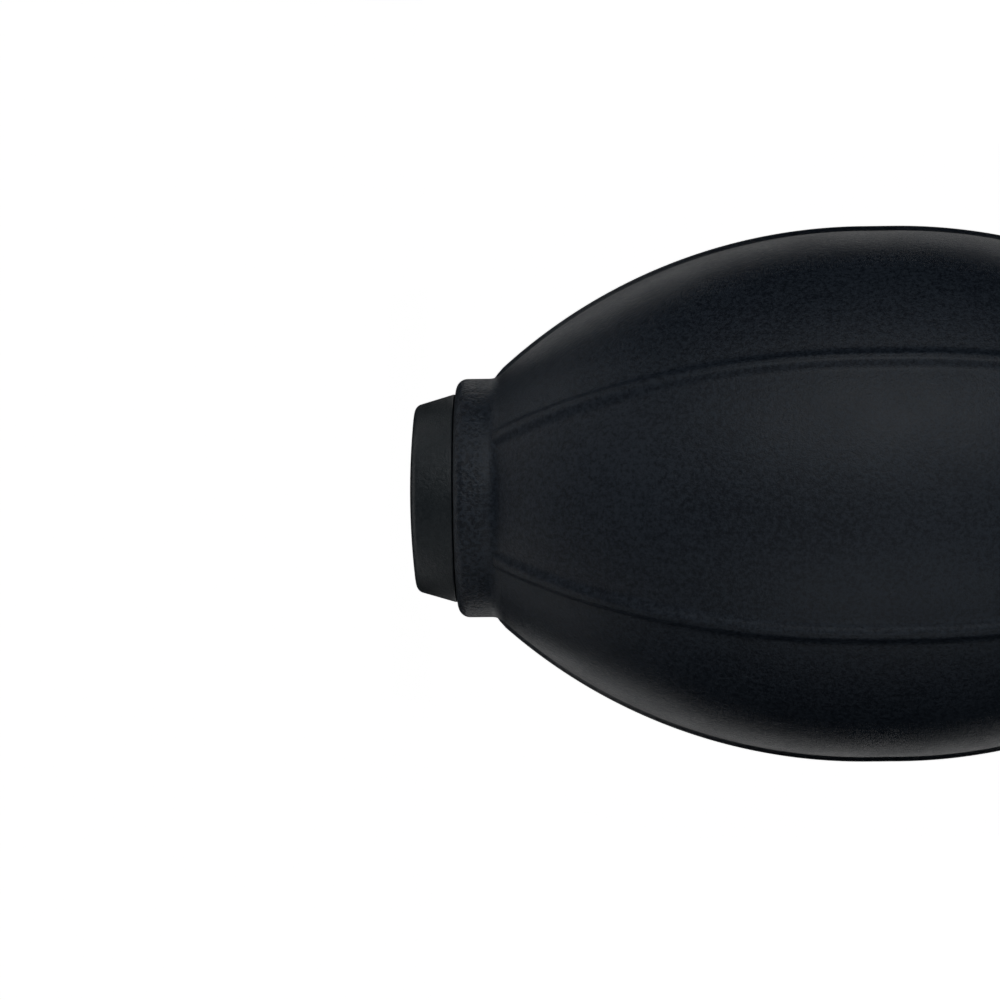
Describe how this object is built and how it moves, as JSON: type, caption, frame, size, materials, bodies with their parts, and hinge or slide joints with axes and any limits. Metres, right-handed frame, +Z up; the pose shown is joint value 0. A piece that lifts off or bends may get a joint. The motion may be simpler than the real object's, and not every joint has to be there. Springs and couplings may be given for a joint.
{
  "type": "dust blower bulb",
  "caption": "Ribbed silicone squeeze bulb with a filtered one-way inlet at its tail and a slim soft-tipped nozzle, for blowing dust off fine work.",
  "frame": {"origin": "on the surface that the bulb rests on, under the middle of the overall length", "axes": "+X along the bulb's axis towards the nozzle, +Z up"},
  "size_m": [0.1592, 0.056, 0.0549],
  "materials": {
    "bulb_silicone": "matte, fine moulded grain",
    "black_plastic": "fine satin, moulded",
    "valve_silicone": "translucent milky silicone",
    "seal_rubber": "smooth",
    "filter_foam": "open-cell foam",
    "steel_mesh": "woven wire",
    "tube_steel": "satin stainless steel tube",
    "tip_silicone": "soft matte"
  },
  "bodies": {
    "bulb_body": {"bulb": "bulb_silicone", "outlet_socket": "black_plastic", "outlet_valve_cage": "black_plastic"},
    "rear_body": {"inlet_socket": "black_plastic", "inlet_valve_cage": "black_plastic"},
    "inlet_disc_body": {"inlet_valve_disc": "valve_silicone"},
    "cap_body": {"filter_cap": "black_plastic", "cap_seal": "seal_rubber", "filter_pad": "filter_foam", "filter_mesh": "steel_mesh", "filter_retainer": "black_plastic"},
    "outlet_disc_body": {"outlet_valve_disc": "valve_silicone"},
    "nozzle_body": {"nozzle_base": "black_plastic", "nozzle_seal": "seal_rubber", "nozzle_tube": "tube_steel"},
    "tip_body": {"nozzle_tip": "tip_silicone"}
  },
  "joints": [
    {"name": "bulb_squeeze", "type": "slide", "parent": "bulb_body", "child": "rear_body", "axis": [-1, 0, 0], "range_m": [0, 0.001], "stiffness_N_per_m": 1500, "deforming": ["bulb"]},
    {"name": "inlet_valve_lift", "type": "slide", "parent": "rear_body", "child": "inlet_disc_body", "axis": [1, 0, 0], "range_m": [0, 0.001]},
    {"name": "filter_cap_pull", "type": "slide", "parent": "rear_body", "child": "cap_body", "axis": [-1, 0, 0], "range_m": [0, 0.008]},
    {"name": "outlet_valve_lift", "type": "slide", "parent": "bulb_body", "child": "outlet_disc_body", "axis": [1, 0, 0], "range_m": [0, 0.001]},
    {"name": "nozzle_pull", "type": "slide", "parent": "bulb_body", "child": "nozzle_body", "axis": [1, 0, 0], "range_m": [0, 0.008]},
    {"name": "nozzle_tip_pull", "type": "slide", "parent": "nozzle_body", "child": "tip_body", "axis": [1, 0, 0], "range_m": [0, 0.012]}
  ],
  "couplings": [
    {"joint": "outlet_valve_lift", "follows": "bulb_squeeze", "ratio": 1}
  ]
}
